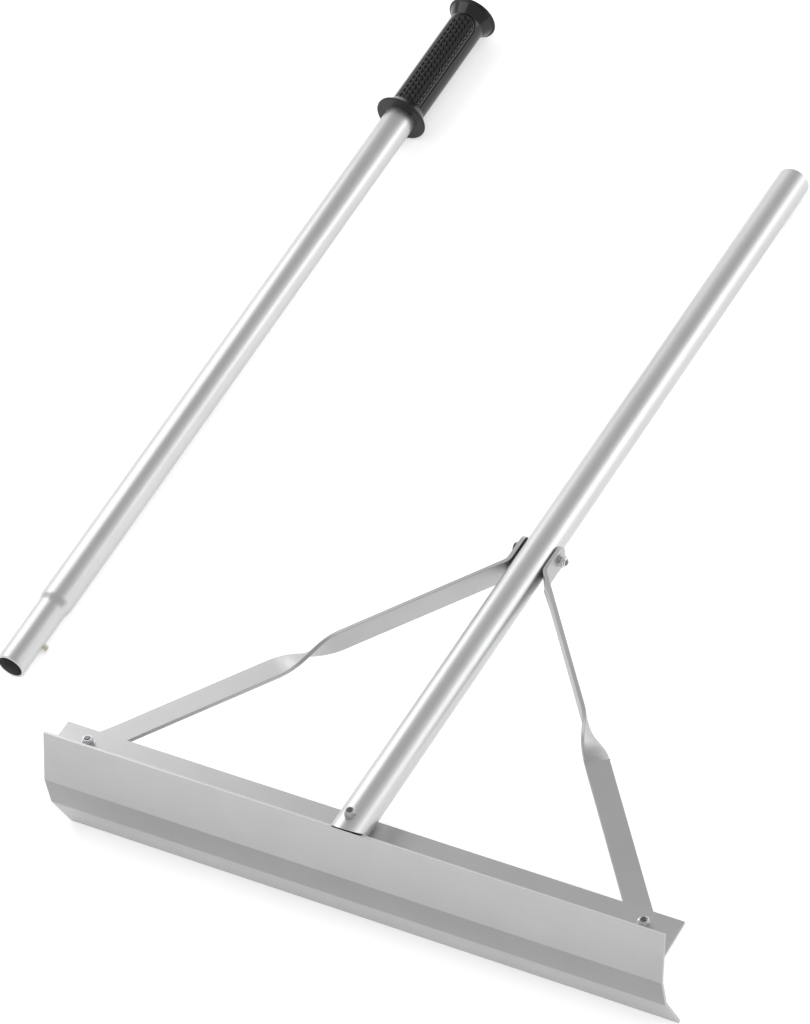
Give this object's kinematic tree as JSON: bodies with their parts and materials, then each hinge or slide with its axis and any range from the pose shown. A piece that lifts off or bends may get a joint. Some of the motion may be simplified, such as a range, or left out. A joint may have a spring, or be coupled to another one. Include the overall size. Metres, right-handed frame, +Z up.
{
  "type": "levelling rake",
  "caption": "Levelling rake with a folded scraper blade on a braced tube, and a plug-in upper handle with snap button and black grip",
  "frame": {"origin": "middle of the blade's ground edge, on the floor", "axes": "+X along the blade, +Y back along the tubes, +Z up"},
  "size_m": [0.7464, 1.0439, 0.1434],
  "materials": {
    "blade_aluminium": "satin mill finish",
    "tube_aluminium": "drawn satin",
    "bar_aluminium": "satin flat bar",
    "zinc_steel": "bright zinc plated",
    "black_rubber": "satin moulded rubber",
    "spring_steel": "blued spring strip",
    "nickel_steel": "nickel plated"
  },
  "bodies": {
    "head": {"blade_head": "blade_aluminium", "lower_tube": "tube_aluminium", "left_brace": "bar_aluminium", "right_brace": "bar_aluminium", "tube_bolt": "zinc_steel", "tube_bolt_washer": "zinc_steel", "tube_bolt_nut": "zinc_steel", "left_brace_bolt": "zinc_steel", "left_brace_washers": "zinc_steel", "left_brace_nut": "zinc_steel", "right_brace_bolt": "zinc_steel", "right_brace_washers": "zinc_steel", "right_brace_nut": "zinc_steel", "cross_bolt": "zinc_steel", "cross_bolt_washers": "zinc_steel", "cross_bolt_nut": "zinc_steel"},
    "handle": {"upper_tube": "tube_aluminium", "grip": "black_rubber", "button_spring": "spring_steel"},
    "button": {"snap_button": "nickel_steel"}
  },
  "joints": [
    {"name": "handle_lift", "type": "slide", "parent": "head", "child": "handle", "axis": [0, 0, 1], "range_m": [0, 0.3]},
    {"name": "button_press", "type": "slide", "parent": "handle", "child": "button", "axis": [-0.8383, 0.0261, 0.5446], "range_m": [0, 0.005], "stiffness_N_per_m": 2500, "springref_m": -0.002, "deforming": ["button_spring"]}
  ]
}
